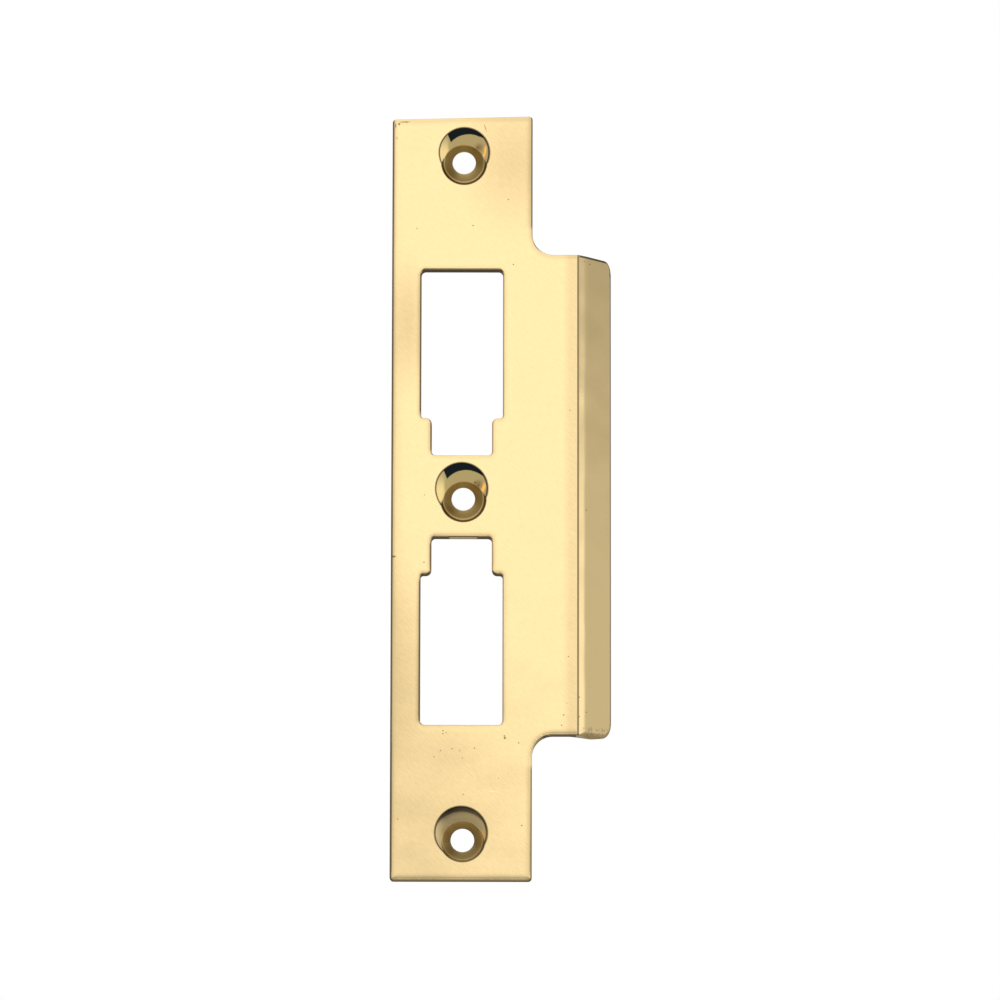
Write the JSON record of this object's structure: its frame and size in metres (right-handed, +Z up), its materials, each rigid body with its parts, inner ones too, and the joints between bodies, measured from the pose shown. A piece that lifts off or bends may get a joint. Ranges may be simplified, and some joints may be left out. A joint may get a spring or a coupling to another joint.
{
  "type": "door strike plate",
  "caption": "Lipped brass strike plate with stepped latch and bolt openings and countersunk screw holes, screwed to a door frame so the lock's bolts can engage.",
  "frame": {"origin": "on the back face, at the middle of the plate's length and width", "axes": "+Z up along the plate as fitted, +X across the plate towards the lip, +Y from the polished face back into the door frame"},
  "size_m": [0.0429, 0.0116, 0.1503],
  "materials": {
    "brass": "polished"
  },
  "bodies": {
    "root": {"strike_plate": "brass"}
  },
  "joints": []
}
